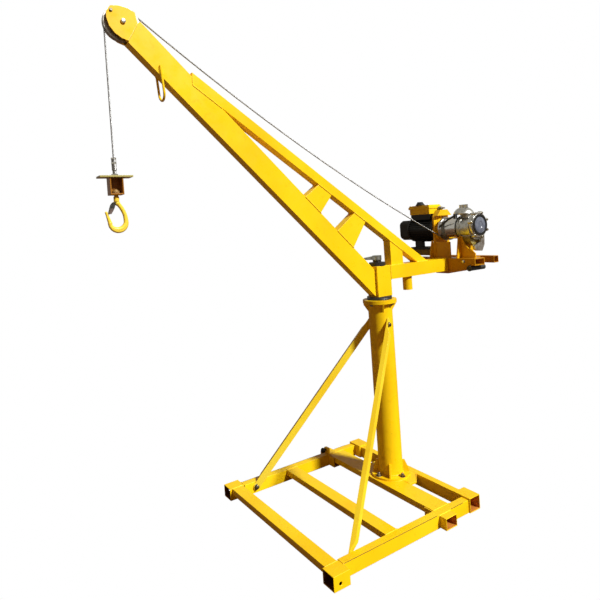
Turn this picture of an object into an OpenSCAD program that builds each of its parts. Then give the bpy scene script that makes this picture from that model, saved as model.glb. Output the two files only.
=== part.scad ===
// Portable mini crane: a welded base frame with a braced round mast, a
// slewing head carrying a box-section boom with its top chord, a rear arm
// with an electric rope winch, and a hook block hanging from the tip sheave.
// Millimetres. +X points along the boom, +Y to the gearbox side of the winch,
// +Z up. The origin lies on the floor below the mast axis.

/* [Base frame] */
// half width over the outer faces of the side rails
rail_half = 430; // [350:5:520]
// width of a side rail tube
rail_w = 40; // [30:1:60]
// height of the side rails and of the base
rail_h = 60; // [40:1:100]
// wall of the base tubes
base_wall = 3; // [2:0.5:6]
// rear end of the side rails
rail_rear = -77; // [-88:1:-70]
// front end of the side rails
rail_front = 657; // [500:1:900]
// front face of the front crossbeam
front_x = 725; // [560:1:960]
// width of the front crossbeam
front_w = 60; // [30:1:90]
// height of the shallow crossbeams, flush with the rail tops
cross_h = 30; // [15:1:50]
// front face of the middle crossbeam
middle_x = 400; // [250:1:600]
// width of the middle crossbeam
middle_w = 65; // [30:1:90]
// front face of the crossbeam in front of the mast
mast_cross_x = 112; // [90:1:160]
// width of the crossbeam in front of the mast
mast_cross_w = 98; // [40:1:110]
// front face of the full height rear crossbeam
rear_x = -88; // [-130:1:-60]
// width of the rear crossbeam
rear_w = 36; // [24:1:45]

/* [Corner tubes and sockets] */
// length of a front corner tube
corner_len = 80; // [50:1:160]
// width of a front corner tube
corner_w = 72; // [50:1:100]
// wall of the corner tubes and sockets
socket_wall = 4; // [3:0.5:8]
// locking hole in the outer wall of a corner tube
lock_hole_d = 14; // [8:1:20]
// width of an outrigger socket along the rail
socket_w = 70; // [50:1:90]
// distance a socket stands out from the rail
socket_out = 38; // [15:1:80]
// centre of the front pair of sockets
socket_front_x = 83; // [70:1:90]
// height of the rear corner tubes, which stand above the rails
rear_tube_h = 68; // [62:1:80]
// length of a rear corner tube
rear_tube_len = 91; // [70:1:140]
// distance a rear corner tube stands out from the rail
rear_tube_out = 8; // [4:1:40]

/* [Mast] */
// outer diameter of the mast tube
mast_d = 124; // [90:1:180]
// wall of the mast tube
mast_wall = 5; // [3:0.5:10]
// height of the top face of the mast flange
mast_top = 970; // [700:5:1400]
// diameter of the mast top flange
top_flange_d = 174; // [140:2:240]
// thickness of the mast top flange
top_flange_t = 18; // [8:1:30]
// diameter of the mast base flange
base_flange_d = 200; // [160:2:300]
// thickness of the mast base flange
base_flange_t = 10; // [6:1:20]
// height of the ribs at the mast foot
foot_rib_h = 62; // [30:1:120]

/* [Braces] */
// width of the brace tubes
brace_w = 34; // [20:1:50]
// depth of the brace tubes
brace_d = 22; // [10:1:30]
// thickness of their flattened ends
brace_t = 8; // [4:1:9]
// height where the braces meet the mast
brace_top_z = 846; // [500:5:900]
// forward position of the lower brace bolts
brace_foot_x = 592; // [400:1:640]
// height of the lower brace bolts
brace_foot_z = 34; // [20:1:45]

/* [Slewing head] */
// height of the underside of the head box
head_z = 985; // [960:1:1000]
// height of the top of the head box
head_top = 1143; // [1080:1:1200]
// front face of the head box
head_front = 40; // [30:1:80]
// rear face of the head box
head_rear = -55; // [-100:1:-40]
// half width of the head box and the rear arm
head_half = 40; // [30:1:60]
// diameter of the cap over the kingpin
kingpin_cap_d = 84; // [40:1:100]

/* [Boom] */
// angle of the boom above level
boom_angle = 44.2; // [30:0.1:60]
// height of the boom centre line at the mast axis
boom_base_z = 1016.2; // [980:0.1:1060]
// depth of the boom tube
boom_h = 100; // [60:1:140]
// width of the boom tube and the top chord
boom_w = 50; // [40:1:80]
// wall of the boom tube
boom_wall = 3; // [2:0.5:6]
// forward position of the boom tip centre
boom_tip_x = 1206; // [900:1:1500]
// angle of the top chord above level
chord_angle = 34.7; // [25:0.1:45]
// height of the chord underside at the mast axis
chord_base_z = 1321.4; // [1250:0.1:1400]
// depth of the top chord
chord_h = 45; // [25:1:70]
// forward end of the top chord
chord_tip_x = 967; // [700:1:1100]

/* [Rear arm and platform] */
// rear end of the arm
arm_rear = -487; // [-600:1:-400]
// height of the underside of the arm
arm_z = 1068; // [1040:1:1100]
// height of the top of the arm and platform
arm_top = 1138; // [1100:1:1140]
// half length of the front platform member
platform_half = 227; // [210:1:320]
// front to back size of the front platform member
platform_front_w = 80; // [50:1:120]
// front face of the rear platform member
platform_rear_x = -660; // [-760:1:-600]
// diameter of the stub tube under the arm
stub_d = 50; // [30:1:70]
// length of the stub tube under the arm
stub_len = 74; // [30:1:120]
// side position of the push handles
handle_y = 192; // [120:1:205]

/* [Tip and rope] */
// forward position of the sheave pin
sheave_x = 1240; // [1000:1:1500]
// height of the sheave pin
sheave_z = 2214; // [1800:1:2600]
// pitch radius of the sheave
sheave_pitch = 66; // [40:1:100]
// radius over the sheave rims
sheave_rim = 71; // [45:1:110]
// thickness of the tip side plates
tip_plate_t = 6; // [4:1:12]
// diameter of the wire rope
rope_d = 6; // [4:0.5:10]
// angle by which the sagging rope leaves its chord at each end
rope_sag_angle = 5.4; // [0.5:0.1:9]
// sideways place of the rope on the drum
drum_lead_y = -22; // [-24:1:80]
// height of the lower end of the free rope fall
fall_bottom = 1688; // [1500:1:1900]
// rod diameter of the eye under the boom
eye_rod = 10; // [6:1:16]
// forward position of the eye under the boom
eye_x = 1103; // [1000:1:1150]
// backward lean of the rope eye
eye_tilt = 4.6; // [0:0.1:20]

/* [Winch] */
// forward position of the winch axis
winch_x = -575; // [-620:1:-540]
// height of the winch axis
winch_z = 1302; // [1280:1:1340]
// radius of the rope on the drum
drum_pitch = 63; // [45:1:66]
// radius of the drum flanges
drum_flange_r = 68; // [55:1:70]
// radius of the motor housing over its fins
motor_r = 80; // [60:1:90]

/* [Hook block] */
// height of the shank underside where the hook starts
hook_top = 1526; // [1450:1:1560]
// radius of the hook bar
hook_bar = 8; // [6:0.5:11]
// radius of the hook bowl to the middle of the bar
bowl_r = 31; // [26:0.5:40]
// length of the stop plate
stop_len = 126; // [80:1:180]

/* [Hidden] */
$fn = 64;
e = 0.01;
weld_gap = 0.02;
rail_in = rail_half - rail_w;
boom_half = boom_w / 2;
boom_slope = tan(boom_angle);
boom_v = boom_h / 2 / cos(boom_angle);
chord_slope = tan(chord_angle);
chord_v = chord_h / cos(chord_angle);
corner_in = rail_half + socket_out + 2 - corner_w;
corner_front = rail_front + corner_len;
rear_tube_in = rail_half + rear_tube_out - rear_tube_len;
function boom_mid(x) = boom_base_z + boom_slope * x;
function boom_upper(x) = boom_mid(x) + boom_v;
function boom_lower(x) = boom_mid(x) - boom_v;
function chord_lower(x) = chord_base_z + chord_slope * x;
function chord_upper(x) = chord_lower(x) + chord_v;
hook_axis_x = sheave_x + sheave_pitch;
// rope lead, an arc of a large circle between its two tangent points
lead_a0 = 30.3036;
p1 = [sheave_x - sheave_pitch * sin(lead_a0 + rope_sag_angle),
      sheave_z + sheave_pitch * cos(lead_a0 + rope_sag_angle)];
p2 = [winch_x + drum_pitch * sin(lead_a0 - rope_sag_angle),
      winch_z - drum_pitch * cos(lead_a0 - rope_sag_angle)];
lead_a = atan2(p1[1] - p2[1], p1[0] - p2[0]);
lead_l = norm(p1 - p2);
lead_r = lead_l / 2 / sin(rope_sag_angle);
wrap_a = 90 + lead_a + rope_sag_angle;

module box(x0, x1, y0, y1, z0, z1) {
    translate([x0, y0, z0]) cube([x1 - x0, y1 - y0, z1 - z0]);
}

// prism with a profile given in X and Z, centred on y
module xz_prism(pts, y0, y1) {
    translate([0, y1, 0]) rotate([90, 0, 0])
        linear_extrude(height = y1 - y0) polygon(pts);
}

module rod_y(x, z, r, y0, y1) {
    translate([x, y1, z]) rotate([90, 0, 0]) cylinder(r = r, h = y1 - y0);
}

module rod_x(y, z, r, x0, x1) {
    translate([x0, y, z]) rotate([0, 90, 0]) cylinder(r = r, h = x1 - x0);
}

// ---- base frame ----

module rail() {
    difference() {
        box(rail_rear, rail_front, rail_in, rail_half, 0, rail_h);
        box(rail_rear + base_wall, rail_front + e, rail_in + base_wall,
            rail_half - base_wall, base_wall, rail_h - base_wall);
        // passage for the outrigger socket
        box(socket_front_x - socket_w / 2, socket_front_x + socket_w / 2,
            rail_in - 1, rail_half + 1, base_wall, rail_h - base_wall);
    }
}

module side_rail_near() color("#f2bd18") rail();
module side_rail_far() color("#f2bd18") union() {
    mirror([0, 1, 0]) rail();
    // upright lug beside the outrigger socket
    box(socket_front_x + 19, socket_front_x + 35, -rail_half + 2, -rail_in - 6,
        rail_h, rail_h + 34);
}

module corner_tube() {
    difference() {
        box(rail_front, corner_front, corner_in, corner_in + corner_w, 0, rail_h);
        box(rail_front + socket_wall, corner_front + 1, corner_in + socket_wall,
            corner_in + corner_w - socket_wall, socket_wall, rail_h - socket_wall);
        rod_y(rail_front + corner_len * 0.6, rail_h * 0.4, lock_hole_d / 2,
              corner_in + corner_w - socket_wall - 1, corner_in + corner_w + 1);
    }
}

module corner_tube_near() color("#f2bd18") corner_tube();
module corner_tube_far() color("#f2bd18") mirror([0, 1, 0]) corner_tube();

module cross_tube(x0, w, half, z0, wall) {
    difference() {
        box(x0 - w, x0, -half, half, z0, rail_h);
        box(x0 - w + wall, x0 - wall, -half + wall, half - wall,
            z0 + wall, rail_h - wall);
    }
}

module front_crossbeam() color("#f2bd18")
    cross_tube(front_x, front_w, corner_in, rail_h - cross_h, base_wall);

module middle_crossbeam() color("#f2bd18")
    cross_tube(middle_x, middle_w, rail_in, rail_h - cross_h, base_wall);

module mast_crossbeam() color("#f2bd18") difference() {
    box(mast_cross_x - mast_cross_w, mast_cross_x, -rail_in, rail_in,
        rail_h - cross_h, rail_h);
    box(mast_cross_x - mast_cross_w + base_wall, mast_cross_x - base_wall,
        -rail_in + 60, rail_in - 60, rail_h - cross_h + base_wall, rail_h - base_wall);
    for (s = [-1, 1])
        box(socket_front_x - socket_w / 2, socket_front_x + socket_w / 2,
            s > 0 ? rail_in - 50 : -rail_in - 1, s > 0 ? rail_in + 1 : -rail_in + 50,
            base_wall, rail_h - base_wall);
}

module rear_crossbeam() color("#f2bd18")
    cross_tube(rear_x, rear_w, rear_tube_in, 0, base_wall);

// open tube for an outrigger, lying along Y
module socket_tube(cx, y0, y1) {
    difference() {
        box(cx - socket_w / 2, cx + socket_w / 2, y0, y1, base_wall, rail_h - base_wall);
        box(cx - socket_w / 2 + socket_wall, cx + socket_w / 2 - socket_wall,
            y0 - 1, y1 + 1, base_wall + socket_wall, rail_h - base_wall - socket_wall);
    }
}

module outrigger_socket_near() color("#f2bd18")
    socket_tube(socket_front_x, rail_in - 50, rail_half + socket_out);
module outrigger_socket_far() color("#f2bd18") mirror([0, 1, 0])
    socket_tube(socket_front_x, rail_in - 50, rail_half + socket_out);

// corner tube across the rear end of a rail, open to the side
module rear_tube() difference() {
    box(rail_rear - socket_w, rail_rear, rear_tube_in, rail_half + rear_tube_out,
        0, rear_tube_h);
    box(rail_rear - socket_w + socket_wall, rail_rear - socket_wall,
        rear_tube_in + socket_wall, rail_half + rear_tube_out + 1,
        socket_wall, rear_tube_h - socket_wall);
}

module rear_socket_near() color("#f2bd18") rear_tube();
module rear_socket_far() color("#f2bd18") mirror([0, 1, 0]) rear_tube();

// ---- mast ----

// plate let in between the two mast crossbeams
module mast_seat_plate() color("#f2bd18")
    translate([0, 0, rail_h - 10]) linear_extrude(height = 10)
        polygon([[mast_cross_x - mast_cross_w, 150], [mast_cross_x - mast_cross_w, -150],
                 [-30, -150], [rear_x, -92], [rear_x, 92], [-30, 150]]);

module mast_base_flange() color("#f2bd18") {
    translate([0, 0, rail_h]) cylinder(d = base_flange_d, h = base_flange_t, $fn = 96);
    for (a = [45 : 90 : 315]) rotate([0, 0, a])
        xz_prism([[mast_d / 2, rail_h + base_flange_t - 3],
                  [base_flange_d / 2 - 8, rail_h + base_flange_t - 3],
                  [base_flange_d / 2 - 8, rail_h + base_flange_t + 14],
                  [mast_d / 2 + 10, rail_h + base_flange_t + foot_rib_h],
                  [mast_d / 2, rail_h + base_flange_t + foot_rib_h]], -4, 4);
}

module mast_tube() color("#f2bd18") difference() {
    translate([0, 0, rail_h + base_flange_t])
        cylinder(d = mast_d, h = mast_top - top_flange_t - rail_h - base_flange_t, $fn = 96);
    translate([0, 0, rail_h + base_flange_t - 1])
        cylinder(d = mast_d - 2 * mast_wall, h = mast_top, $fn = 96);
}

module mast_top_flange() color("#f2bd18") {
    translate([0, 0, mast_top - top_flange_t])
        cylinder(d = top_flange_d, h = top_flange_t, $fn = 96);
    for (a = [60 : 90 : 330]) rotate([0, 0, a])
        xz_prism([[mast_d / 2, mast_top - top_flange_t],
                  [mast_d / 2 + 2, mast_top - top_flange_t],
                  [mast_d / 2 + 2, mast_top - top_flange_t + 3],
                  [top_flange_d / 2 - 2, mast_top - top_flange_t + 3],
                  [top_flange_d / 2 - 2, mast_top - top_flange_t - 8],
                  [mast_d / 2, mast_top - top_flange_t - 44]], -4, 4);
}

// ---- braces ----

brace_p = [brace_foot_x, rail_in - brace_t / 2, brace_foot_z];
brace_q = [14, mast_d / 2 + brace_t / 2 + 1, brace_top_z];
brace_v = brace_q - brace_p;
brace_len = norm(brace_v);
brace_az = atan2(brace_v[1], brace_v[0]);
brace_el = atan2(brace_v[2], norm([brace_v[0], brace_v[1]]));

module brace() difference() {
    union() {
        translate(brace_p) rotate([0, 0, brace_az]) rotate([0, -brace_el, 0])
            translate([0, 0, -brace_w / 2]) linear_extrude(height = brace_w)
                polygon([[6, -brace_t / 2], [6, brace_t / 2],
                         [brace_len + 30, brace_t / 2], [brace_len + 30, -brace_t / 2],
                         [brace_len - 24, -brace_t / 2], [brace_len - 52, brace_t / 2 - brace_d],
                         [64, brace_t / 2 - brace_d], [32, -brace_t / 2]]);
        // round eye bolted to the rail
        rod_y(brace_foot_x, brace_foot_z, 17, rail_in - brace_t, rail_in);
        box(brace_foot_x - 24, brace_foot_x, rail_in - brace_t, rail_in,
            brace_foot_z, brace_foot_z + 17);
    }
    box(400, 760, rail_in, rail_half + 40, -20, 200);
    cylinder(d = mast_d + 0.1, h = 2000, $fn = 96);
}

module brace_near() color("#f2bd18") brace();
module brace_far() color("#f2bd18") mirror([0, 1, 0]) brace();

// ---- slewing head ----

// bearing ring with the kingpin that the head turns on
module slew_post() color("#4a4a48")
    translate([0, 0, mast_top]) rotate_extrude($fn = 96)
        polygon([[0, 0], [64, 0], [64, head_z - mast_top - 0.05], [20, head_z - mast_top - 0.05],
                 [20, head_top - mast_top - 0.1], [0, head_top - mast_top - 0.1]]);

module swivel_head() color("#f2bd18") difference() {
    box(head_rear, head_front, -head_half, head_half, head_z, head_top);
    box(head_rear + 6, head_front - 6, -head_half + 6, head_half - 6, head_z + 10, head_top - 8);
    translate([0, 0, head_z - 1]) cylinder(r = 20.05, h = head_top - head_z + 2, $fn = 96);
}

module kingpin_cap() color("#1c1c1c") {
    translate([0, 0, head_top]) cylinder(d = kingpin_cap_d, h = 18);
    translate([0, 0, head_top + 18]) cylinder(d = 46, h = 12, $fn = 6);
}

// short lever that tightens the cap
module cap_lever() color("#8f938f") {
    translate([0, 0, head_top + 30]) cylinder(r = 24, h = 23);
    xz_prism([[12, head_top + 52], [98, head_top + 46], [98, head_top + 42],
              [70, head_top + 36], [12, head_top + 32]], -11, 11);
}

// ---- boom ----

tip_c = [boom_tip_x, boom_mid(boom_tip_x)];
boom_poly = [
    [head_front, boom_lower(head_front)],
    tip_c + (boom_h / 2) * [sin(boom_angle), -cos(boom_angle)],
    tip_c + (boom_h / 2) * [-sin(boom_angle), cos(boom_angle)],
    [head_front, boom_upper(head_front)]
];
boom_void = [
    [head_front - 1, boom_lower(head_front - 1) + boom_wall / cos(boom_angle)],
    tip_c + (boom_h / 2 - boom_wall) * [sin(boom_angle), -cos(boom_angle)]
        - boom_wall * [cos(boom_angle), sin(boom_angle)],
    tip_c + (boom_h / 2 - boom_wall) * [-sin(boom_angle), cos(boom_angle)]
        - boom_wall * [cos(boom_angle), sin(boom_angle)],
    [head_front - 1, boom_upper(head_front - 1) - boom_wall / cos(boom_angle)]
];
chord_x0 = (arm_top - chord_base_z) / chord_slope;
chord_x1 = (arm_top - chord_base_z - chord_v) / chord_slope;
chord_poly = [
    [chord_x0, arm_top], [chord_tip_x, chord_lower(chord_tip_x)],
    [chord_tip_x, chord_upper(chord_tip_x)], [chord_x1, arm_top]
];
chord_w3 = boom_wall / cos(chord_angle);
chord_void = [
    [chord_x0 + 4, chord_lower(chord_x0 + 4) + chord_w3],
    [chord_tip_x - boom_wall, chord_lower(chord_tip_x - boom_wall) + chord_w3],
    [chord_tip_x - boom_wall, chord_upper(chord_tip_x - boom_wall) - chord_w3],
    [chord_x0 + 4, chord_upper(chord_x0 + 4) - chord_w3]
];

module boom_tube() color("#f2bd18") difference() {
    xz_prism(boom_poly, -boom_half, boom_half);
    xz_prism(boom_void, -boom_half + boom_wall, boom_half - boom_wall);
    xz_prism(chord_poly, -boom_half - 1, boom_half + 1);
    // slot at the tip for the sheave
    rod_y(sheave_x, sheave_z, sheave_rim + 7, -17, 17);
}

module top_chord() color("#f2bd18") difference() {
    xz_prism(chord_poly, -boom_half, boom_half);
    xz_prism(chord_void, -boom_half + boom_wall, boom_half - boom_wall);
}

module web_plate_upper() color("#f2bd18")
    xz_prism([[356, boom_upper(356)], [438, boom_upper(438)],
              [356, chord_lower(356) - weld_gap], [283, chord_lower(283) - weld_gap]],
             -boom_half, boom_half);

module web_plate_lower() color("#f2bd18")
    xz_prism([[169, boom_upper(169)], [262, boom_upper(262)],
              [147, chord_lower(147) - weld_gap], [80, chord_lower(80) - weld_gap]],
             -boom_half, boom_half);

module web_post() color("#f2bd18")
    xz_prism([[-162, arm_top], [-75, arm_top],
              [-75, chord_lower(-75) - weld_gap], [-162, chord_lower(-162) - weld_gap]],
             -boom_half, boom_half);

// ---- rear arm and platform ----

module rear_arm() color("#f2bd18") difference() {
    box(arm_rear, head_rear, -head_half, head_half, arm_z, arm_top);
    box(arm_rear + 4, head_rear - 4, -head_half + 4, head_half - 4, arm_z + 4, arm_top - 4);
}

module arm_stub_tube() color("#f2bd18") difference() {
    translate([-207, 0, arm_z - stub_len]) cylinder(d = stub_d, h = stub_len);
    translate([-207, 0, arm_z - stub_len - 1]) cylinder(d = stub_d - 8, h = stub_len - 3);
}

// flat box section lying across the end of the arm, open at both ends,
// with a gusset below on each side
module platform_front() color("#f2bd18") {
    difference() {
        box(arm_rear - platform_front_w, arm_rear, -platform_half, platform_half,
            arm_top - 38, arm_top);
        box(arm_rear - platform_front_w + 4, arm_rear - 4, -platform_half - 1,
            platform_half + 1, arm_top - 34, arm_top - 4);
    }
    difference() {
        translate([arm_rear - 8, 0, 0]) rotate([90, 0, 90]) linear_extrude(height = 8)
            polygon([[-handle_y + 4, arm_top - 38 + e], [handle_y - 4, arm_top - 38 + e],
                     [handle_y - 4, arm_top - 61], [head_half, arm_z - 16],
                     [-head_half, arm_z - 16], [-handle_y + 4, arm_top - 61]]);
        for (s = [-1, 1]) rod_x(s * handle_y, arm_top - 53, 14.05, arm_rear - 20, arm_rear + 20);
    }
}

module platform_rear() color("#f2bd18") {
    difference() {
        box(platform_rear_x - 40, platform_rear_x, -platform_half + 9, platform_half - 9,
            arm_top - 38, arm_top);
        box(platform_rear_x - 36, platform_rear_x - 4, -platform_half - 1, platform_half + 1,
            arm_top - 34, arm_top - 4);
    }
    for (s = [-1, 1])
        box(platform_rear_x, arm_rear - platform_front_w, s * 110 - 20, s * 110 + 20,
            arm_top - 38, arm_top);
}

module push_handle(s) {
    rod_x(s * handle_y, arm_top - 53, 14, arm_rear - platform_front_w - 34, arm_rear + 8);
    rod_x(s * handle_y, arm_top - 53, 15.5, arm_rear + 2, arm_rear + 8);
}
module push_handle_near() color("#1c1c1c") push_handle(1);
module push_handle_far() color("#1c1c1c") push_handle(-1);

// ---- boom tip ----

tip_out = [[1195, 2256], [1221, 2268], [1255, 2273], [1285, 2268], [1301, 2246],
           [1303, 2222], [1294, 2190], [1274, 2165], [1250, 2149], [1226, 2141], [1186, 2212]];

// two side plates joined by the sheave pin
module tip_fork() color("#f2bd18") {
    for (s = [-1, 1])
        xz_prism(tip_out, s > 0 ? boom_half : -boom_half - tip_plate_t,
                 s > 0 ? boom_half + tip_plate_t : -boom_half);
    rod_y(sheave_x, sheave_z, 10, -boom_half - 1, boom_half + 1);
    rod_y(sheave_x, sheave_z, 10, boom_half + tip_plate_t - 1, boom_half + tip_plate_t + 6);
    rod_y(sheave_x, sheave_z, 10, -boom_half - tip_plate_t - 6, -boom_half - tip_plate_t + 1);
}

// hanging loop with a leg against each side of the boom
eye_r = boom_half + eye_rod / 2;
module rope_eye() color("#f2bd18") translate([eye_x, 0, 2058]) rotate([0, eye_tilt, 0]) {
    for (s = [-1, 1]) translate([0, s * eye_r, -104])
        cylinder(d = eye_rod, h = 104, $fn = 32);
    translate([0, 0, -104]) rotate([90, 0, 90]) rotate([0, 0, 180])
        rotate_extrude(angle = 180, $fn = 48) translate([eye_r, 0]) circle(d = eye_rod, $fn = 32);
}

// ---- winch ----

// feet and side plate that carry the winch
frame_y = -62;
gear_y = 95;

module winch_frame() color("#f2bd18") {
    // side plate between motor and drum with its round boss
    difference() {
        union() {
            box(winch_x - 60, winch_x + 64, frame_y - 12, frame_y, arm_top, winch_z + 78);
            rod_y(winch_x, winch_z, 66, frame_y - 1, frame_y + 6);
        }
        rod_y(winch_x, winch_z, 15.05, frame_y - 13, frame_y + 7);
    }
    // guard over the side plate
    xz_prism([[winch_x - 60, winch_z + 78], [winch_x + 60, winch_z + 78],
              [winch_x + 31, winch_z + 112], [winch_x - 27, winch_z + 112]],
             frame_y - 12, frame_y + 26);
    // plate in front of the drum
    box(winch_x + 54, winch_x + 60, -88, 42, arm_top, winch_z - 74);
    // gusset
    xz_prism([[winch_x + 59, arm_top], [winch_x + 93, arm_top],
        [winch_x + 67, winch_z - 64], [winch_x + 59, winch_z - 64]], -88, -80);
}

module gearbox_foot() color("#f2bd18") difference() {
    union() {
        // front plate with a swept edge under the gear case
        translate([winch_x + 48, 0, 0]) rotate([90, 0, 90]) linear_extrude(height = 6)
            polygon([[105, arm_top], [206, arm_top], [206, arm_top + 26], [186, arm_top + 43],
                     [166, arm_top + 50], [152, arm_top + 62], [140, arm_top + 78],
                     [130, arm_top + 98], [122, arm_top + 120], [105, arm_top + 124]]);
        // cradle under the gear case
        box(winch_x - 50, winch_x + 49, 105, 113, arm_top, winch_z - 40);
        // gusset
        xz_prism([[winch_x + 53, arm_top], [winch_x + 90, arm_top],
            [winch_x + 68, winch_z - 48], [winch_x + 53, winch_z - 48]], 105, 113);
    }
    rod_y(winch_x, winch_z, 66.05, 90, 130);
    rod_y(winch_x, winch_z - 52, 48.05, 90, 180);
}

module winch_motor() color("#1d1d1d") {
    rod_y(winch_x, winch_z, motor_r - 14, -275, frame_y - 12);
    rod_y(winch_x, winch_z, motor_r - 3, frame_y - 24, frame_y - 12);
    rod_y(winch_x, winch_z, motor_r - 8, -275, -262);
    for (i = [0 : 35]) translate([winch_x, 0, winch_z]) rotate([0, i * 10 + 5, 0])
        box(motor_r - 15, motor_r - 6, -263, frame_y - 23, -1.4, 1.4);
    // terminal base on top
    box(winch_x - 38, winch_x + 56, -248, -98, winch_z + 60, winch_z + 92);
    // start case below, hung from the housing
    box(winch_x - 20, winch_x + 60, -262, -98, winch_z - 120, winch_z - 103);
    box(winch_x - 16, winch_x + 50, -256, -102, winch_z - 153, winch_z - 119);
    box(winch_x + 2, winch_x + 30, -252, -200, winch_z - 104, winch_z - 60);
}

module fan_cover() color("#141414") {
    translate([winch_x, -275, winch_z]) rotate([90, 0, 0]) {
        translate([0, 0, 0]) fan_profile(60, 60);
        translate([0, 0, 59.9]) fan_profile(54, 17);
    }
}

// square with round corners, half width r
module fan_profile(r, h) {
    translate([-r, -r + 26, 0]) cube([2 * r, 2 * r - 52, h]);
    translate([-r + 26, -r, 0]) cube([2 * r - 52, 2 * r, h]);
    for (i = [-1, 1], k = [-1, 1])
        translate([i * (r - 26), k * (r - 26), 0]) cylinder(r = 26, h = h);
}

module control_box() color("#f2bd18") {
    box(winch_x - 38, winch_x + 56, -256, -100, winch_z + 92, winch_z + 124);
    // overhanging lid in two steps
    box(winch_x - 44, winch_x + 61, -262, -96, winch_z + 124, winch_z + 138);
    box(winch_x - 40, winch_x + 57, -258, -100, winch_z + 137, winch_z + 146);
}

module gearbox() color("#a9adae") {
    difference() {
        union() {
            rod_y(winch_x, winch_z, 66, gear_y, gear_y + 5);
            rod_y(winch_x, winch_z, 63.5, gear_y + 4, gear_y + 15);
            rod_y(winch_x, winch_z, 66, gear_y + 14, gear_y + 20);
        }
        rod_y(winch_x, winch_z, 15.05, gear_y - 5, gear_y + 10);
    }
    rod_y(winch_x, winch_z, 63, gear_y + 19, 178);
    // lower gear case
    rod_y(winch_x, winch_z - 52, 48, 113, 172);
    // brake dome with its neck
    box(winch_x - 25, winch_x + 25, gear_y + 3, 150, winch_z + 50, winch_z + 76);
    translate([winch_x, 102, 0]) rotate_extrude()
        polygon([[0, winch_z + 75], [53, winch_z + 75],
                 [56, winch_z + 82], [50, winch_z + 94], [38, winch_z + 106],
                 [26, winch_z + 113], [0, winch_z + 115]]);
    for (i = [-1 : 1]) translate([winch_x + 6 * i, 104 + i * 24, winch_z + 106])
        cylinder(r = 9, h = 25, $fn = 6);
}

module gearbox_cover() color("#b9bcbc") {
    rod_y(winch_x, winch_z + 6, 72, 178, 184);
    rod_y(winch_x, winch_z + 14, 68, 183, 200);
    rod_y(winch_x, winch_z + 14, 57, 199, 206);
    // bolt bosses round the rim
    for (a = [14, 62, 110, 158, 206, 254, 302])
        rod_y(winch_x + 68 * cos(a), winch_z + 14 + 68 * sin(a), 9, 183, 203);
    // bracket reaching down and forward
    xz_prism([[winch_x + 47, winch_z - 98], [winch_x + 39, winch_z - 120],
              [winch_x + 27, winch_z - 126], [winch_x - 17, winch_z - 130],
              [winch_x - 39, winch_z - 96], [winch_x - 43, winch_z - 40],
              [winch_x - 16, winch_z - 46], [winch_x - 8, winch_z - 78]], 184, 198);
}

// ---- rope, sheave and drum ----

module rope_lead() color("#6f7273") {
    // sagging run from the drum to the sheave
    translate([p1[0], 0, p1[1]]) rotate([0, 0, -atan(drum_lead_y / (p1[0] - p2[0]))])
    translate([p2[0] - p1[0], 0, p2[1] - p1[1]]) rotate([0, -(lead_a - rope_sag_angle), 0])
        translate([0, 0, lead_r]) rotate([90, 0, 0]) rotate([0, 0, -90])
            rotate_extrude(angle = 2 * rope_sag_angle, $fn = 720)
                translate([lead_r, 0]) circle(d = rope_d, $fn = 16);
    translate([p1[0], 0, p1[1]]) sphere(d = rope_d + 0.8, $fn = 24);
    // turn over the sheave
    translate([sheave_x, 0, sheave_z]) rotate([90, 0, 0])
        rotate_extrude(angle = wrap_a, $fn = 96)
            translate([sheave_pitch, 0]) circle(d = rope_d, $fn = 16);
}

module sheave() color("#8c8c88")
    translate([sheave_x, 0, sheave_z]) rotate([90, 0, 0]) rotate_extrude($fn = 96)
        polygon([[10.05, -11], [sheave_rim, -11], [sheave_rim, -7],
                 [sheave_pitch - rope_d / 2 - 0.6, -3.6], [sheave_pitch - rope_d / 2 - 0.6, 3.6],
                 [sheave_rim, 7], [sheave_rim, 11], [10.05, 11]]);

module drum() color("#b4b6b6") {
    rod_y(winch_x, winch_z, drum_pitch - rope_d / 2 - 0.6, -31, 87);
    rod_y(winch_x, winch_z, drum_flange_r, -32, -28);
    rod_y(winch_x, winch_z, drum_flange_r, 84, 88);
    rod_y(winch_x, winch_z, 24, -48, -31);
    rod_y(winch_x, winch_z, 15, frame_y - 10, gear_y + 7);
}

// ---- hook block ----

module rope_fall() color("#6f7273")
    translate([hook_axis_x, 0, fall_bottom])
        cylinder(d = rope_d, h = sheave_z - fall_bottom, $fn = 16);

module rope_socket() color("#8f9192") {
    translate([hook_axis_x, 0, fall_bottom - 48]) cylinder(r = 9, h = 48, $fn = 32);
    translate([hook_axis_x, 0, fall_bottom - 69]) cylinder(r = 7, h = 21, $fn = 32);
}

module hook_yoke() color("#f2bd18") {
    // stop plate
    box(hook_axis_x - stop_len / 2, hook_axis_x + stop_len / 2, -30, 30,
        fall_bottom - 76, fall_bottom - 69);
    // box open to the near side
    difference() {
        box(hook_axis_x - 26, hook_axis_x + 26, -24, 24, fall_bottom - 143, fall_bottom - 76);
        box(hook_axis_x - 21, hook_axis_x + 21, -18, 25, fall_bottom - 137, fall_bottom - 76 + e);
        translate([hook_axis_x, 0, fall_bottom - 150]) cylinder(r = 8.05, h = 20);
    }
}

// the hook, an arc of bar round the bowl with a wider arc up to the shank
bowl_x = hook_axis_x - 1;
bowl_z = hook_top - 89;
back_r = 114.5;
back_a = 41;
tip_tilt = 16;
tip_l = 43;
latch_x = hook_axis_x + 11;
latch_z = hook_top - 13;

module hook_arc(cx, r, a0, a1)
    translate([cx, 0, bowl_z]) rotate([90, 0, 0]) rotate([0, 0, a0])
        rotate_extrude(angle = a1 - a0, $fn = 128) translate([r, 0]) circle(r = hook_bar, $fn = 48);

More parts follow.
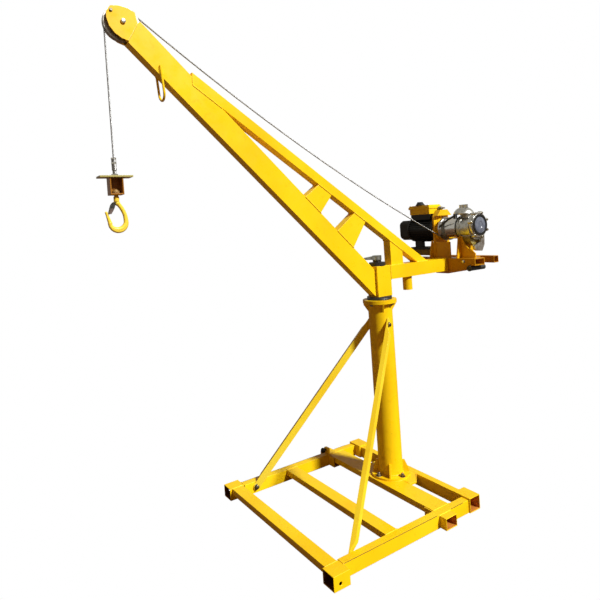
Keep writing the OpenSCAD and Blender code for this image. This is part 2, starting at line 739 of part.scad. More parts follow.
module hook() color("#e6b21a") {
    // shank with its nut on the yoke floor
    translate([hook_axis_x, 0, hook_top - 6])
        cylinder(r = 8, h = fall_bottom - 122 - hook_top + 6, $fn = 48);
    translate([hook_axis_x, 0, fall_bottom - 136.95]) cylinder(r = 14, h = 10, $fn = 6);
    translate([hook_axis_x, 0, hook_top - 7]) cylinder(r = 10.5, h = 20, $fn = 48);
    translate([hook_axis_x - 2.8, 0, hook_top - 13]) sphere(r = 10, $fn = 48);
    hook_arc(bowl_x, bowl_r, 180, 360);
    hook_arc(bowl_x - bowl_r + back_r, back_r, 180 - back_a, 180);
    translate([bowl_x - bowl_r, 0, bowl_z]) sphere(r = hook_bar + 0.5, $fn = 48);
    // tapered tip
    translate([bowl_x + bowl_r, 0, bowl_z]) {
        sphere(r = hook_bar + 0.5, $fn = 48);
        rotate([0, tip_tilt, 0]) {
            cylinder(r1 = hook_bar - 0.2, r2 = hook_bar - 3.5, h = tip_l, $fn = 48);
            translate([0, 0, tip_l]) sphere(r = hook_bar - 2.8, $fn = 48);
        }
    }
    // lug and pin for the latch
    box(hook_axis_x + 4, latch_x + 2, -3.4, 3.4, latch_z - 4, latch_z + 6);
    rod_y(latch_x, latch_z, 2, -7, 7);
}

module hook_latch() color("#26241e")
    translate([latch_x, 0, latch_z]) rotate([0, -17.8, 0]) difference() {
        union() {
            box(-1.25, 1.25, -5.8, 5.8, -41, -9);
            for (s = [-1, 1]) {
                box(-3, 3, s > 0 ? 3.8 : -5.8, s > 0 ? 5.8 : -3.8, -14, 0);
                rod_y(0, 0, 4.5, s > 0 ? 3.8 : -5.8, s > 0 ? 5.8 : -3.8);
            }
        }
        rod_y(0, 0, 2.05, -10, 10);
    }

side_rail_near();
side_rail_far();
corner_tube_near();
corner_tube_far();
front_crossbeam();
middle_crossbeam();
mast_crossbeam();
rear_crossbeam();
outrigger_socket_near();
outrigger_socket_far();
rear_socket_near();
rear_socket_far();
mast_seat_plate();
mast_base_flange();
mast_tube();
mast_top_flange();
brace_near();
brace_far();
slew_post();
swivel_head();
kingpin_cap();
cap_lever();
boom_tube();
top_chord();
web_plate_upper();
web_plate_lower();
web_post();
rear_arm();
arm_stub_tube();
platform_front();
platform_rear();
push_handle_near();
push_handle_far();
tip_fork();
rope_eye();
winch_frame();
winch_motor();
fan_cover();
control_box();
gearbox_foot();
gearbox();
gearbox_cover();
rope_lead();
sheave();
drum();
rope_fall();
rope_socket();
hook_yoke();
hook();
hook_latch();
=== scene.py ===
import bpy, bmesh, math, random
from mathutils import Vector, Matrix, Quaternion


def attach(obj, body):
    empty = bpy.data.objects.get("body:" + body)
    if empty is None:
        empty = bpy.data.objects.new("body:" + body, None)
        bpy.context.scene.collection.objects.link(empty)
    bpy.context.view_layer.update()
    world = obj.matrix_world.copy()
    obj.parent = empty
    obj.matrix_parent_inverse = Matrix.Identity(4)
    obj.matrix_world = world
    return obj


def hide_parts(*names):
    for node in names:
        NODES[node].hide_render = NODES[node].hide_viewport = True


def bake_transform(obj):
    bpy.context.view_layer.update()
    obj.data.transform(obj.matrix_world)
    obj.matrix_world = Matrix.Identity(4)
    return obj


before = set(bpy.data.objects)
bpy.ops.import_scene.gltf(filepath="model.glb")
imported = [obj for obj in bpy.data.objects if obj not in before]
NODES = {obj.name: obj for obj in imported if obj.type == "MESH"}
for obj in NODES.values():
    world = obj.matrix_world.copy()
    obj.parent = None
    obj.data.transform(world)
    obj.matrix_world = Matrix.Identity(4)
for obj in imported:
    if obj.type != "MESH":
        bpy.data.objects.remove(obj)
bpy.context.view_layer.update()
random.seed(7)
V = Vector
scene = bpy.context.scene

# ---------------------------------------------------------------- camera
yaw, pitch, roll = 4.1391, -0.0116, -0.0687
fwd = V((math.cos(yaw) * math.cos(pitch), math.sin(yaw) * math.cos(pitch), math.sin(pitch)))
right = V((math.sin(yaw), -math.cos(yaw), 0))
up = right.cross(fwd)
r2 = right * math.cos(roll) + up * math.sin(roll)
u2 = up * math.cos(roll) - right * math.sin(roll)
cam_data = bpy.data.cameras.new("view")
cam = bpy.data.objects.new("view", cam_data)
scene.collection.objects.link(cam)
cam.matrix_world = Matrix((
    (r2.x, u2.x, -fwd.x, 1.8611), (r2.y, u2.y, -fwd.y, 2.0929),
    (r2.z, u2.z, -fwd.z, 1.3813), (0, 0, 0, 1)))
cam_data.sensor_width = 36
cam_data.lens = 533.139 / 600 * 36
cam_data.shift_x = (300 - 292.357) / 600
cam_data.shift_y = (231.722 - 300) / 600
cam_data.clip_start = 0.01
scene.camera = cam

# ---------------------------------------------------------------- materials
def mat_new(name):
    m = bpy.data.materials.new(name)
    m.use_nodes = True
    nt = m.node_tree
    b = nt.nodes["Principled BSDF"]
    return m, nt, b


def noise(nt, scale, detail=4.0, rough=0.55, vec=None):
    n = nt.nodes.new("ShaderNodeTexNoise")
    n.inputs["Scale"].default_value = scale
    n.inputs["Detail"].default_value = detail
    n.inputs["Roughness"].default_value = rough
    if vec is not None:
        nt.links.new(vec, n.inputs["Vector"])
    return n


def ramp(nt, fac, stops):
    r = nt.nodes.new("ShaderNodeValToRGB")
    e = r.color_ramp.elements
    e[0].position, e[0].color = stops[0][0], stops[0][1]
    e[1].position, e[1].color = stops[-1][0], stops[-1][1]
    for p, c in stops[1:-1]:
        x = e.new(p)
        x.color = c
    nt.links.new(fac, r.inputs["Fac"])
    return r


def c4(r, g, b):
    return (r, g, b, 1.0)


def mix(nt, fac, a, b):
    m = nt.nodes.new("ShaderNodeMix")
    m.data_type = "RGBA"
    nt.links.new(fac, m.inputs[0])
    for sock, v in ((m.inputs[6], a), (m.inputs[7], b)):
        if isinstance(v, tuple):
            sock.default_value = v
        else:
            nt.links.new(v, sock)
    return m.outputs[2]


def coords(nt):
    return nt.nodes.new("ShaderNodeTexCoord").outputs["Object"]


def bump(nt, b, height, strength, dist=0.001):
    n = nt.nodes.new("ShaderNodeBump")
    n.inputs["Strength"].default_value = strength
    n.inputs["Distance"].default_value = dist
    nt.links.new(height, n.inputs["Height"])
    nt.links.new(n.outputs["Normal"], b.inputs["Normal"])


def enamel(name, base, deep, light, rough=0.30, coat=0.05, dirt=0.35, chips=True):
    """Brushed or sprayed enamel: slow colour drift, thin dusty film, small chips, orange peel."""
    m, nt, b = mat_new(name)
    co = coords(nt)
    drift = noise(nt, 2.6, 3.0, 0.5, co)
    r = ramp(nt, drift.outputs["Fac"], [(0.3, deep), (0.52, base), (0.75, light)])
    col = r.outputs["Color"]
    fine = noise(nt, 34.0, 6.0, 0.62, co)
    rf = ramp(nt, fine.outputs["Fac"], [(0.56, c4(0, 0, 0)), (0.78, c4(dirt, dirt, dirt))])
    col = mix(nt, rf.outputs["Color"], col, c4(deep[0] * 0.72, deep[1] * 0.62, deep[2] * 0.7))
    if chips:
        ch = noise(nt, 120.0, 3.0, 0.5, co)
        rc = ramp(nt, ch.outputs["Fac"], [(0.735, c4(0, 0, 0)), (0.755, c4(0.85, 0.85, 0.85))])
        col = mix(nt, rc.outputs["Color"], col, c4(0.10, 0.045, 0.02))
    nt.links.new(col, b.inputs["Base Color"])
    rr = ramp(nt, noise(nt, 18.0, 5.0, 0.6, co).outputs["Fac"],
              [(0.3, c4(rough - 0.07, 0, 0)), (0.7, c4(rough + 0.13, 0, 0))])
    sep = nt.nodes.new("ShaderNodeSeparateColor")
    nt.links.new(rr.outputs["Color"], sep.inputs["Color"])
    nt.links.new(sep.outputs["Red"], b.inputs["Roughness"])
    b.inputs["Coat Weight"].default_value = coat
    b.inputs["Coat Roughness"].default_value = 0.12
    b.inputs["Specular IOR Level"].default_value = 0.27
    b.inputs["IOR"].default_value = 1.5
    bump(nt, b, noise(nt, 260.0, 2.0, 0.5, co).outputs["Fac"], 0.08, 0.0006)
    return m


def metal(name, base, dark, rough=0.3, scale=60.0, stretch=None, metallic=1.0, bumpy=0.15):
    m, nt, b = mat_new(name)
    co = coords(nt)
    if stretch:
        mp = nt.nodes.new("ShaderNodeMapping")
        mp.inputs["Scale"].default_value = stretch
        nt.links.new(co, mp.inputs["Vector"])
        co2 = mp.outputs["Vector"]
    else:
        co2 = co
    n = noise(nt, scale, 6.0, 0.6, co2)
    r = ramp(nt, n.outputs["Fac"], [(0.32, dark), (0.62, base)])
    nt.links.new(r.outputs["Color"], b.inputs["Base Color"])
    rr = ramp(nt, noise(nt, scale * 0.6, 4.0, 0.6, co2).outputs["Fac"],
              [(0.3, c4(max(rough - 0.08, 0.05), 0, 0)), (0.7, c4(rough + 0.14, 0, 0))])
    sep = nt.nodes.new("ShaderNodeSeparateColor")
    nt.links.new(rr.outputs["Color"], sep.inputs["Color"])
    nt.links.new(sep.outputs["Red"], b.inputs["Roughness"])
    b.inputs["Metallic"].default_value = metallic
    bump(nt, b, n.outputs["Fac"], bumpy, 0.0006)
    return m


def plastic(name, base, light, rough=0.45, spec=0.5, scale=80.0):
    m, nt, b = mat_new(name)
    co = coords(nt)
    n = noise(nt, scale, 5.0, 0.6, co)
    r = ramp(nt, n.outputs["Fac"], [(0.4, base), (0.75, light)])
    nt.links.new(r.outputs["Color"], b.inputs["Base Color"])
    rr = ramp(nt, noise(nt, 22.0, 4.0, 0.6, co).outputs["Fac"],
              [(0.3, c4(rough - 0.08, 0, 0)), (0.7, c4(rough + 0.12, 0, 0))])
    sep = nt.nodes.new("ShaderNodeSeparateColor")
    nt.links.new(rr.outputs["Color"], sep.inputs["Color"])
    nt.links.new(sep.outputs["Red"], b.inputs["Roughness"])
    b.inputs["Specular IOR Level"].default_value = spec
    bump(nt, b, noise(nt, 420.0, 2.0, 0.5, co).outputs["Fac"], 0.2, 0.0004)
    return m


YELLOW = enamel("yellow_enamel", c4(0.93, 0.62, 0.005), c4(0.86, 0.53, 0.004), c4(0.96, 0.68, 0.014))
YELLOW_HOOK = enamel("hook_enamel", c4(0.90, 0.66, 0.06), c4(0.76, 0.50, 0.03), c4(0.95, 0.74, 0.12), rough=0.35, dirt=0.6)
WELD = enamel("weld_enamel", c4(0.94, 0.62, 0.02), c4(0.82, 0.45, 0.01), c4(0.96, 0.70, 0.05), rough=0.3, dirt=0.6, chips=False)
DARK = plastic("black_paint", c4(0.012, 0.011, 0.010), c4(0.035, 0.03, 0.028), rough=0.38)
MOTOR = plastic("motor_black", c4(0.004, 0.004, 0.005), c4(0.014, 0.014, 0.014), rough=0.36, spec=0.28)
PLASTIC = plastic("black_plastic", c4(0.005, 0.005, 0.005), c4(0.012, 0.012, 0.012), rough=0.5, spec=0.3)
GRIP = plastic("grip_rubber", c4(0.010, 0.011, 0.012), c4(0.022, 0.024, 0.026), rough=0.6)
ALLOY = metal("cast_alloy", c4(0.60, 0.60, 0.58), c4(0.36, 0.35, 0.33), rough=0.34, scale=70.0)
STEEL = metal("drum_steel", c4(0.80, 0.80, 0.80), c4(0.62, 0.61, 0.60), rough=0.16, scale=30.0, stretch=(6.0, 1.0, 6.0), bumpy=0.04)
ZINC = metal("zinc_bolts", c4(0.62, 0.60, 0.54), c4(0.30, 0.28, 0.22), rough=0.3, scale=200.0)
SHEAVE = metal("sheave_steel", c4(0.50, 0.48, 0.45), c4(0.25, 0.23, 0.21), rough=0.35, scale=90.0)
ROPE = metal("wire_rope", c4(0.42, 0.42, 0.42), c4(0.16, 0.16, 0.16), rough=0.4, scale=300.0)
# Dark brown colour for painted shadow lines and painted shade.
SHADOW_STRIP = plastic("painted_shadow_strip", c4(0.10, 0.055, 0.010), c4(0.17, 0.09, 0.015), rough=0.6)
BOLT = metal("dark_bolts", c4(0.30, 0.26, 0.19), c4(0.07, 0.055, 0.04), rough=0.34, scale=180.0)
DARKGREY = plastic("dark_grey", c4(0.03, 0.03, 0.03), c4(0.07, 0.07, 0.07), rough=0.4)
DISC = plastic("blue_grey_disc", c4(0.10, 0.12, 0.17), c4(0.22, 0.25, 0.31), rough=0.25, spec=0.8)
GREYPL = plastic("grey_plastic", c4(0.22, 0.23, 0.23), c4(0.30, 0.31, 0.31), rough=0.45)
LEVER = metal("grey_lever", c4(0.42, 0.45, 0.42), c4(0.22, 0.24, 0.22), rough=0.36, scale=80.0)


def below(m, z, color, soft=0.001, rough=None):
    """Second colour under a height: the part takes that colour below it and is no longer metal there."""
    nt = m.node_tree
    b = nt.nodes["Principled BSDF"]
    sep = nt.nodes.new("ShaderNodeSeparateXYZ")
    nt.links.new(coords(nt), sep.inputs[0])
    mr = nt.nodes.new("ShaderNodeMapRange")
    mr.inputs["From Min"].default_value = z - soft
    mr.inputs["From Max"].default_value = z + soft
    mr.inputs["To Min"].default_value = 1.0
    mr.inputs["To Max"].default_value = 0.0
    nt.links.new(sep.outputs["Z"], mr.inputs["Value"])
    old = b.inputs["Base Color"].links[0].from_socket
    vary = noise(nt, 30.0, 4.0, 0.6, coords(nt))
    r = ramp(nt, vary.outputs["Fac"], [(0.3, c4(color[0] * 0.75, color[1] * 0.7, color[2] * 0.7)), (0.7, c4(*color))])
    nt.links.new(mix(nt, mr.outputs["Result"], old, r.outputs["Color"]), b.inputs["Base Color"])
    if b.inputs["Metallic"].default_value > 0:
        inv = nt.nodes.new("ShaderNodeMath")
        inv.operation = "SUBTRACT"
        inv.inputs[0].default_value = 1.0
        nt.links.new(mr.outputs["Result"], inv.inputs[1])
        nt.links.new(inv.outputs[0], b.inputs["Metallic"])


def strands(m, scale):
    """Twisted strands of a wire rope."""
    nt = m.node_tree
    b = nt.nodes["Principled BSDF"]
    w = nt.nodes.new("ShaderNodeTexWave")
    w.wave_type = "BANDS"
    w.bands_direction = "DIAGONAL"
    w.inputs["Scale"].default_value = scale
    w.inputs["Distortion"].default_value = 0.6
    nt.links.new(coords(nt), w.inputs["Vector"])
    old = b.inputs["Base Color"].links[0].from_socket
    r = ramp(nt, w.outputs["Fac"], [(0.25, c4(0.35, 0.35, 0.35)), (0.6, c4(1, 1, 1))])
    mul = nt.nodes.new("ShaderNodeMix")
    mul.data_type = "RGBA"
    mul.blend_type = "MULTIPLY"
    mul.inputs[0].default_value = 0.8
    nt.links.new(old, mul.inputs[6])
    nt.links.new(r.outputs["Color"], mul.inputs[7])
    nt.links.new(mul.outputs[2], b.inputs["Base Color"])
    bump(nt, b, w.outputs["Fac"], 0.5, 0.0012)


def within(m, boxes, color):
    """Second colour inside boxes that are the same on both sides of the middle plane."""
    nt = m.node_tree
    b = nt.nodes["Principled BSDF"]
    sep = nt.nodes.new("ShaderNodeSeparateXYZ")
    nt.links.new(coords(nt), sep.inputs[0])
    ay = nt.nodes.new("ShaderNodeMath")
    ay.operation = "ABSOLUTE"
    nt.links.new(sep.outputs["Y"], ay.inputs[0])
    axes = (sep.outputs["X"], ay.outputs[0], sep.outputs["Z"])
    total = None
    for lo, hi in boxes:
        acc = None
        for k in range(3):
            c = nt.nodes.new("ShaderNodeMath")
            c.operation = "COMPARE"
            c.inputs[1].default_value = (lo[k] + hi[k]) / 2
            c.inputs[2].default_value = (hi[k] - lo[k]) / 2
            nt.links.new(axes[k], c.inputs[0])
            if acc is None:
                acc = c.outputs[0]
            else:
                mu = nt.nodes.new("ShaderNodeMath")
                mu.operation = "MULTIPLY"
                nt.links.new(acc, mu.inputs[0])
                nt.links.new(c.outputs[0], mu.inputs[1])
                acc = mu.outputs[0]
        if total is None:
            total = acc
        else:
            mx = nt.nodes.new("ShaderNodeMath")
            mx.operation = "MAXIMUM"
            nt.links.new(total, mx.inputs[0])
            nt.links.new(acc, mx.inputs[1])
            total = mx.outputs[0]
    old = b.inputs["Base Color"].links[0].from_socket
    vary = noise(nt, 40.0, 5.0, 0.6, coords(nt))
    r = ramp(nt, vary.outputs["Fac"], [(0.35, c4(color[0] * 0.6, color[1] * 0.55, color[2] * 0.5)), (0.7, c4(*color))])
    nt.links.new(mix(nt, total, old, r.outputs["Color"]), b.inputs["Base Color"])


# Painted shade: the yellow tubes are coloured dark brown inside the open sockets and corner tubes, where shade falls in
# their mouths.
TUBE_INSIDE_SHADE = enamel("yellow_painted_shade_inside", c4(0.93, 0.62, 0.005), c4(0.86, 0.53, 0.004), c4(0.96, 0.68, 0.014))
within(TUBE_INSIDE_SHADE, [((0.0515, 0.30, 0.0065), (0.1145, 0.4665, 0.0535)), ((-0.1445, 0.35, 0.0025), (-0.0795, 0.4365, 0.0655))], (0.75, 0.30, 0.05))
within(TUBE_INSIDE_SHADE, [((0.6605, 0.4015, 0.0035), (0.7355, 0.4665, 0.0565))], (0.16, 0.06, 0.012))
LATCH = plastic("latch_steel", c4(0.012, 0.012, 0.009), c4(0.035, 0.034, 0.028), rough=0.4)
within(LATCH, [((1.28, 0.0, 1.40), (1.36, 0.02, 1.4935))], (0.17, 0.13, 0.12))
# Deeper orange-brown enamel for the platform tubes: partly their own browner tone, partly painted shade darkening them.
PLATFORM_TONE_AND_SHADE = enamel("platform_enamel_tone_and_shade", c4(0.55, 0.25, 0.006), c4(0.44, 0.18, 0.004), c4(0.66, 0.34, 0.012))
# Deeper yellow for the winch frame and gearbox foot: partly their own tone, partly painted shade darkening them.
FRAME_TONE_AND_SHADE = enamel("winch_frame_enamel_tone_and_shade", c4(0.84, 0.48, 0.005), c4(0.74, 0.38, 0.004), c4(0.92, 0.58, 0.012))
# Painted light: a paler, brighter copy of the yellow enamel makes the braces look more brightly lit.
BRACE_PAINTED_LIGHT = enamel("brace_enamel_painted_light", c4(0.96, 0.73, 0.035), c4(0.92, 0.62, 0.015), c4(0.98, 0.78, 0.07))
# Pale weld enamel: a real weld bead coloured pale as a painted edge highlight.
WELD_HIGHLIGHT = enamel("weld_painted_highlight", c4(0.95, 0.74, 0.14), c4(0.93, 0.64, 0.06), c4(0.97, 0.82, 0.25), rough=0.3, dirt=0.3, chips=False)
within(YELLOW_HOOK, [((1.285, 0.0, 1.546), (1.327, 0.02, 1.575))], (0.42, 0.26, 0.08))
YOKE = enamel("block_enamel", c4(0.42, 0.38, 0.12), c4(0.30, 0.26, 0.07), c4(0.60, 0.55, 0.22), rough=0.35, dirt=0.6)
below(YOKE, 1.6115, (0.34, 0.14, 0.008))
# Painted shade: the motor's lower part turns dark olive below 1.1832 m, the tone of yellow paint in shadow.
below(MOTOR, 1.1832, (0.30, 0.24, 0.035))
below(ALLOY, 1.258, (0.33, 0.27, 0.06))
COVER = metal("cover_alloy", c4(0.66, 0.66, 0.64), c4(0.45, 0.44, 0.42), rough=0.32, scale=70.0)
strands(ROPE, 140.0)

FINISH = {n: YELLOW for n in NODES}
FINISH.update({
    "slew_post": DARK, "kingpin_cap": DARK, "push_handle_near": GRIP, "push_handle_far": GRIP,
    "winch_motor": MOTOR, "fan_cover": PLASTIC, "gearbox": ALLOY, "gearbox_cover": ALLOY,
    "rope_lead": ROPE, "sheave": SHEAVE, "drum": STEEL, "rope_fall": ROPE, "rope_socket": ROPE,
    "hook_latch": DARK, "hook": YELLOW_HOOK, "cap_lever": LEVER, "gearbox_cover": COVER,
    "hook_yoke": YOKE, "corner_tube_near": TUBE_INSIDE_SHADE, "corner_tube_far": TUBE_INSIDE_SHADE,
    "outrigger_socket_near": TUBE_INSIDE_SHADE, "outrigger_socket_far": TUBE_INSIDE_SHADE,
    "rear_socket_near": TUBE_INSIDE_SHADE, "rear_socket_far": TUBE_INSIDE_SHADE,
    "brace_near": BRACE_PAINTED_LIGHT, "brace_far": BRACE_PAINTED_LIGHT, "platform_front": PLATFORM_TONE_AND_SHADE, "platform_rear": PLATFORM_TONE_AND_SHADE, "winch_frame": FRAME_TONE_AND_SHADE, "gearbox_foot": FRAME_TONE_AND_SHADE,
})


def smooth_by_angle(o, deg=32):
    for p in o.data.polygons:
        p.use_smooth = True
    try:
        o.data.set_sharp_from_angle(angle=math.radians(deg))
    except Exception:
        pass


BEVEL = {"hook": 0, "rope_lead": 0, "rope_fall": 0, "hook_latch": 0.0004, "winch_motor": 0.0005,
         "sheave": 0.0005, "drum": 0.0005, "mast_tube": 0, "rope_eye": 0, "rope_socket": 0.001,
         "hook_yoke": 0.0012, "slew_post": 0}
for n, o in NODES.items():
    o.data.materials.clear()
    o.data.materials.append(FINISH[n])
    w = o.modifiers.new("weld", "WELD")
    w.merge_threshold = 0.00002
    bw = BEVEL.get(n, 0.0018)
    if bw:
        m = o.modifiers.new("edge", "BEVEL")
        m.width = bw
        m.segments = 2
        m.limit_method = "ANGLE"
        m.angle_limit = math.radians(38)
        m.harden_normals = False
        m.use_clamp_overlap = True
    sm = o.modifiers.new("wn", "WEIGHTED_NORMAL")
    sm.keep_sharp = True
    for p in o.data.polygons:
        p.use_smooth = True

# ---------------------------------------------------------------- pieces
MM = 0.001


def piece(name, verts, faces, mat, body, slot_name=None, angle=35):
    """Closed mesh from millimetre coordinates, riding on a body."""
    me = bpy.data.meshes.new(name)
    me.from_pydata([(x * MM, y * MM, z * MM) for x, y, z in verts], [], faces)
    bm = bmesh.new()
    bm.from_mesh(me)
    bmesh.ops.remove_doubles(bm, verts=bm.verts, dist=1e-6)
    bmesh.ops.recalc_face_normals(bm, faces=bm.faces)
    bm.to_mesh(me)
    bm.free()
    for p in me.polygons:
        p.use_smooth = True
    me.set_sharp_from_angle(angle=math.radians(angle))
    me.materials.append(mat)
    o = bpy.data.objects.new(name, me)
    scene.collection.objects.link(o)
    if body:
        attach(o, body)
    return o


def frame_of(axis):
    w = V(axis).normalized()
    u = w.orthogonal().normalized()
    return u, w.cross(u), w


def lathe_data(prof, pos, axis, n=32, turn=0.0):
    """Rings of (radius, height) round an axis; a radius of 0 closes to a point."""
    u, v, w = frame_of(axis)
    p = V(pos)
    vs, fs, rows = [], [], []
    for r, h in prof:
        if r < 1e-6:
            rows.append([len(vs)])
            vs.append(p + w * h)
        else:
            rows.append(list(range(len(vs), len(vs) + n)))
            for i in range(n):
                a = 2 * math.pi * i / n + turn
                vs.append(p + w * h + (u * math.cos(a) + v * math.sin(a)) * r)
    for a, b in zip(rows, rows[1:]):
        if len(a) == 1 and len(b) == 1:
            continue
        for i in range(n):
            j = (i + 1) % n
            if len(a) == 1:
                fs.append((a[0], b[i], b[j]))
            elif len(b) == 1:
                fs.append((a[i], b[0], a[j]))
            else:
                fs.append((a[i], b[i], b[j], a[j]))
    return [tuple(x) for x in vs], fs


def join(*parts):
    vs, fs = [], []
    for v, f in parts:
        k = len(vs)
        vs += v
        fs += [tuple(i + k for i in x) for x in f]
    return vs, fs


def bolt_data(pos, axis, af=19.0, h=8.0, washer=None, t=2.4, end=0.0, turn=0.0):
    """Hexagon head with chamfered corners on a round washer."""
    wr = washer if washer else af * 0.92
    rr = af / math.sqrt(3)
    parts = [lathe_data([(0, -0.6), (wr - 0.5, -0.6), (wr, -0.2), (wr, t - 0.5), (wr - 0.5, t), (0, t)], pos, axis, 28),
             lathe_data([(0, t - 0.2), (af * 0.47, t - 0.2), (af * 0.47, t + 0.5), (rr, t + 0.6),
                         (rr, t + h - 1.3), (rr * 0.9, t + h - 0.4), (rr * 0.84, t + h), (0, t + h)], pos, axis, 6, turn)]
    if end:
        r = af * 0.3
        parts.append(lathe_data([(0, t + h - 0.3), (r, t + h - 0.3)]
                                + [(r - (0.35 if k % 2 else 0), t + h + k * 0.7) for k in range(int(end / 0.7))]
                                + [(r - 0.9, t + h + end), (0, t + h + end)], pos, axis, 16))
    return join(*parts)


def bolts(name, body, items, mat, slot_name="drum_steel"):
    return piece(name, *join(*[bolt_data(*a, **k) for a, k in items]), mat, body, slot_name)


def ring(name, prof, pos, axis, mat, body, slot_name=None, n=48):
    vs, fs = lathe_data(prof, pos, axis, n)
    return piece(name, vs, fs, mat, body, slot_name)


def tube_data(pts, radii, n=8, closed=False):
    """Round tube through a list of points."""
    vs, fs = [], []
    m = len(pts)
    side = None
    for i, p in enumerate(pts):
        a = pts[(i - 1) % m] if (closed or i) else p
        b = pts[(i + 1) % m] if (closed or i < m - 1) else p
        t = (V(b) - V(a)).normalized()
        if side is None:
            side = t.orthogonal().normalized()
        side = (side - t * side.dot(t)).normalized()
        o = t.cross(side)
        for k in range(n):
            c = 2 * math.pi * k / n
            vs.append(tuple(V(p) + (side * math.cos(c) + o * math.sin(c)) * radii[i]))
    for i in range(m if closed else m - 1):
        j = (i + 1) % m
        for k in range(n):
            l = (k + 1) % n
            fs.append((i * n + k, i * n + l, j * n + l, j * n + k))
    if not closed:
        fs.append(tuple(range(n))[::-1])
        fs.append(tuple(range((m - 1) * n, m * n)))
    return vs, fs


def walk(pts, step, closed=False):
    """Evenly spaced points on a polyline."""
    out = []
    seq = list(pts) + ([pts[0]] if closed else [])
    for a, b in zip(seq, seq[1:]):
        a, b = V(a), V(b)
        n = max(1, int((b - a).length / step))
        out += [a + (b - a) * (i / n) for i in range(n)]
    if not closed:
        out.append(V(seq[-1]))
    return out


def bead_data(pts, r=3.0, step=2.1, closed=False):
    """Weld bead: overlapping ripples with a little wander."""
    ps = walk(pts, step, closed)
    out, rad = [], []
    for i, p in enumerate(ps):
        out.append(p + V((random.uniform(-1, 1), random.uniform(-1, 1), random.uniform(-1, 1))) * r * 0.07)
        rad.append(r * ((1.06 if i % 2 else 0.88) + random.uniform(-0.05, 0.05)))
    if not closed:
        rad[0] *= 0.7
        rad[-1] *= 0.7
    return tube_data([tuple(p) for p in out], rad, 8, closed)


def welds(name, body, runs, mat=None):
    return piece(name, *join(*[bead_data(*a, **k) for a, k in runs]), mat or WELD, body, "yellow_enamel", angle=70)


def circle(c, r, z, n=60, a0=0.0, a1=360.0):
    return [(c[0] + r * math.cos(math.radians(a0 + (a1 - a0) * i / n)),
             c[1] + r * math.sin(math.radians(a0 + (a1 - a0) * i / n)), z) for i in range(n if a1 - a0 >= 360 else n + 1)]


def box_data(x0, x1, y0, y1, z0, z1, c=0.0):
    """Box with chamfered edges all round."""
    if c <= 0:
        vs = [(x, y, z) for x in (x0, x1) for y in (y0, y1) for z in (z0, z1)]
        return vs, [(0, 1, 3, 2), (4, 6, 7, 5), (0, 4, 5, 1), (2, 3, 7, 6), (0, 2, 6, 4), (1, 5, 7, 3)]
    bm = bmesh.new()
    vs = [(x, y, z) for x in (x0, x1) for y in (y0, y1) for z in (z0, z1)]
    bv = [bm.verts.new(v) for v in vs]
    for f in [(0, 1, 3, 2), (4, 6, 7, 5), (0, 4, 5, 1), (2, 3, 7, 6), (0, 2, 6, 4), (1, 5, 7, 3)]:
        bm.faces.new([bv[i] for i in f])
    bmesh.ops.recalc_face_normals(bm, faces=bm.faces)
    bmesh.ops.bevel(bm, geom=list(bm.edges), offset=c, segments=2, affect="EDGES", profile=0.5)
    bm.verts.index_update()
    out = ([tuple(v.co) for v in bm.verts], [tuple(v.index for v in f.verts) for f in bm.faces])
    bm.free()
    return out


# --- base frame: welds
runs = []
for s in (1, -1):
    for x0, w, y, zl in ((725, 60, 398, 31), (400, 65, 390, 31), (112, 98, 390, 31), (-88, 36, 347, 2)):
        runs.append((([(x0 - w, s * y, zl), (x0 - w, s * y, 60), (x0, s * y, 60), (x0, s * y, zl)],), dict(r=2.6)))
    runs.append((([(657, s * 398, 60), (657, s * 430, 60), (657, s * 430, 1)],), dict(r=2.6)))
    runs.append((([(48, s * 430, 4), (48, s * 430, 57), (118, s * 430, 57), (118, s * 430, 4)],), dict(r=3.0)))
    runs.append((([(-77, s * 390, 2), (-77, s * 390, 60), (-77, s * 430, 60), (-77, s * 430, 1)],), dict(r=2.6)))
    runs.append((([(112, s * 389.5, 57.5), (118, s * 389.5, 57.5), (118, s * 340, 57.2)],), dict(r=2.4)))
runs.append((([(14, 105, 60), (14, 149, 60), (-29, 150, 60), (-87, 92, 60)],), dict(r=2.2)))
runs.append((([(14, -105, 60), (14, -149, 60), (-29, -150, 60), (-87, -92, 60)],), dict(r=2.2)))
welds("welds_base", "base", runs)
runs = [((circle((0, 0), 63.2, 71.5),), dict(r=4.0, closed=True)),
        ((circle((0, 0), 63.2, 950.5),), dict(r=3.6, closed=True)),
        ((circle((0, 0), 99.0, 60.4, 90),), dict(r=1.6, closed=True))]
for a in (45, 135, 225, 315):
    u, n = (math.cos(math.radians(a)), math.sin(math.radians(a))), (-math.sin(math.radians(a)), math.cos(math.radians(a)))
    for t in (-4.2, 4.2):
        runs.append((([(63 * u[0] + t * n[0], 63 * u[1] + t * n[1], 128), (63 * u[0] + t * n[0], 63 * u[1] + t * n[1], 72),
                       (90 * u[0] + t * n[0], 90 * u[1] + t * n[1], 70.6)],), dict(r=1.3)))
for a in (60, 150, 240, 330):
    u, n = (math.cos(math.radians(a)), math.sin(math.radians(a))), (-math.sin(math.radians(a)), math.cos(math.radians(a)))
    for t in (-4.4, 4.4):
        runs.append((([(63 * u[0] + t * n[0], 63 * u[1] + t * n[1], 912), (63 * u[0] + t * n[0], 63 * u[1] + t * n[1], 950)],), dict(r=2.0)))
welds("welds_mast", "base", runs)

